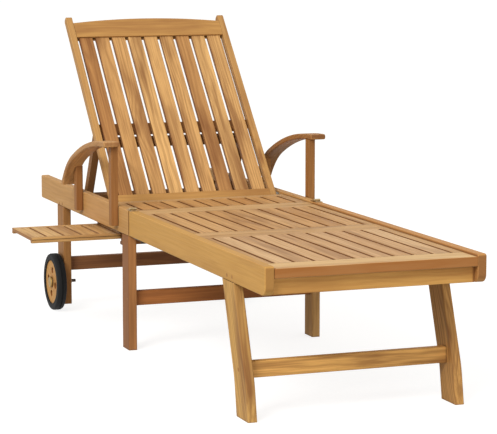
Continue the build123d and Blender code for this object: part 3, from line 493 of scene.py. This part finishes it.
def plated_steel(name, bright, dull, roughness, inside=None):
    """Plated steel, cloudy where the plating has dulled. inside is the colour between the legs, where given."""
    material, tree = new_material(name)
    spot = add(tree, "ShaderNodeTexCoord").outputs["Object"]
    clouds = add(tree, "ShaderNodeTexNoise", links={"Vector": spot, "Scale": 1 / CLOUD_WIDTH, "Detail": 4.0})
    colour = add(tree, "ShaderNodeMix", {"data_type": "RGBA"}, {
        0: clouds.outputs[0], 6: linear(bright), 7: linear(dull)})
    if inside:
        across = add(tree, "ShaderNodeSeparateXYZ", links={0: spot}).outputs["X"]
        shown = add(tree, "ShaderNodeMath", {"operation": "COMPARE"}, {0: across, 1: MIDDLE, 2: INNER_HALF})
        colour = add(tree, "ShaderNodeMix", {"data_type": "RGBA"}, {
            0: shown.outputs[0], 6: colour.outputs[2], 7: linear(inside)})
    gloss = add(tree, "ShaderNodeMapRange", links={
        "Value": clouds.outputs[0], "From Min": 0.3, "From Max": 0.7,
        "To Min": roughness, "To Max": roughness + 0.15})
    surface = add(tree, "ShaderNodeBsdfPrincipled", links={
        "Base Color": colour.outputs[2], "Roughness": gloss.outputs[0], "Metallic": 1.0})
    add(tree, "ShaderNodeOutputMaterial", links={"Surface": surface.outputs[0]})
    return material


finish_node(plated_steel("zinc_plated_steel", "#BCB6A8", "#8A8172", 0.30),
            "wheel_bush_left", "wheel_bush_right", "axle_nuts", "back_pivot_bolts", "prop_pins")
finish_node(plated_steel("yellow_plated_steel", "#BB9D66", "#8E7039", 0.36, inside="#4A3F38"), "axle_bolts")
finish_node(plated_steel("dark_steel_catches", "#4A4744", "#2C2A28", 0.35), "fold_catches")
brass = plated_steel("brass_plated_steel", "#D6BC92", "#957A4E", 0.28)
finish_node(brass, "rear_hinge_leaves", "foot_hinge_leaves", "hinge_pins")
SCREW_D = 0.005
SCREW_PROUD = 0.0008
SCREW_INSET = (0.005, 0.017)
SCREW_REACH = 0.0135     # fold line to the screws
FOLD_Y = 0.0675
LEAF_TOP = 0.412
for node, body, side in (("rear_hinge_leaves", "frame", 1), ("foot_hinge_leaves", "foot_section", -1)):
    low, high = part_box(node)
    rows = [low.x + inset for inset in SCREW_INSET] + [high.x - inset for inset in reversed(SCREW_INSET)]
    places = [(x, FOLD_Y + side * SCREW_REACH, LEAF_TOP) for x in rows]
    buttons(node + "_screws", places, SCREW_D, SCREW_PROUD, (0, 0, 0), brass, body)

# Studio: a pale paper floor that keeps the soft shadow, with white behind it.
# A broad high lamp stands on the tray side, and a low weak one in front.
FLOOR_DROP = 0.0005      # below the soles, so that the two do not flicker
FLOOR_GLOW = 0.82        # with the lamps on it, the floor then shows white
SKY_FILL = 0.60
bpy.ops.mesh.primitive_plane_add(size=60, location=(0, 0, -FLOOR_DROP))
floor = bpy.context.object
floor.name = "studio_floor"
paper, tree = new_material("studio_paper")
seen = add(tree, "ShaderNodeLightPath")
shown = add(tree, "ShaderNodeMath", {"operation": "MAXIMUM"}, {
    0: seen.outputs["Is Camera Ray"], 1: seen.outputs["Is Glossy Ray"]})
glow_level = add(tree, "ShaderNodeMath", {"operation": "MULTIPLY"}, {0: shown.outputs[0], 1: FLOOR_GLOW})
matt = add(tree, "ShaderNodeBsdfDiffuse", links={"Color": linear("#A3A2A0")})
glow = add(tree, "ShaderNodeEmission", links={"Color": linear("#FFFFFF"), "Strength": glow_level.outputs[0]})
both = add(tree, "ShaderNodeAddShader", links={0: matt.outputs[0], 1: glow.outputs[0]})
add(tree, "ShaderNodeOutputMaterial", links={"Surface": both.outputs[0]})
floor.data.materials.append(paper)

world = bpy.data.worlds.new("studio_sky")
bpy.context.scene.world = world
world.use_nodes = True
tree = world.node_tree
tree.nodes.clear()
seen = add(tree, "ShaderNodeLightPath")
direct = add(tree, "ShaderNodeMath", {"operation": "MAXIMUM"}, {
    0: seen.outputs["Is Camera Ray"], 1: seen.outputs["Is Glossy Ray"]})
either = add(tree, "ShaderNodeMath", {"operation": "MAXIMUM"}, {
    0: direct.outputs[0], 1: seen.outputs["Is Transmission Ray"]})
white = add(tree, "ShaderNodeBackground", links={"Color": linear("#FFFFFF"), "Strength": 1.0})
fill = add(tree, "ShaderNodeBackground", links={"Color": linear("#FFFDFA"), "Strength": SKY_FILL})
sky = add(tree, "ShaderNodeMixShader", links={0: either.outputs[0], 1: fill.outputs[0], 2: white.outputs[0]})
add(tree, "ShaderNodeOutputWorld", links={"Surface": sky.outputs[0]})

LAMP_AIM = Vector((0, 0, 0.35))
for name, place, size, watts in (("key_lamp", (-5.6, -4.6, 5.8), 4.0, 520),
                                 ("front_lamp", (-1.0, -8.0, 1.4), 3.0, 110)):
    lamp = bpy.data.lights.new(name, "AREA")
    lamp.energy = watts
    lamp.size = size
    lamp_object = bpy.data.objects.new(name, lamp)
    lamp_object.location = place
    lamp_object.rotation_euler = (LAMP_AIM - Vector(place)).to_track_quat("-Z", "Y").to_euler()
    bpy.context.scene.collection.objects.link(lamp_object)

# Camera: a long lens in front of the foot end, a little to the tray side.
# Its place and aim are those from which the photograph was taken.
camera = bpy.data.cameras.new("photo_camera")
camera.sensor_fit = "HORIZONTAL"
camera.sensor_width = 36.0
camera.lens = 154.4
camera.clip_end = 100
camera_object = bpy.data.objects.new("photo_camera", camera)
camera_object.location = (-2.0269, -5.7491, 1.2246)
camera_object.rotation_euler = Vector((0.34918, 0.92720, -0.13558)).to_track_quat("-Z", "Y").to_euler()
bpy.context.scene.collection.objects.link(camera_object)
bpy.context.scene.camera = camera_object
bpy.context.scene.view_settings.view_transform = "Standard"
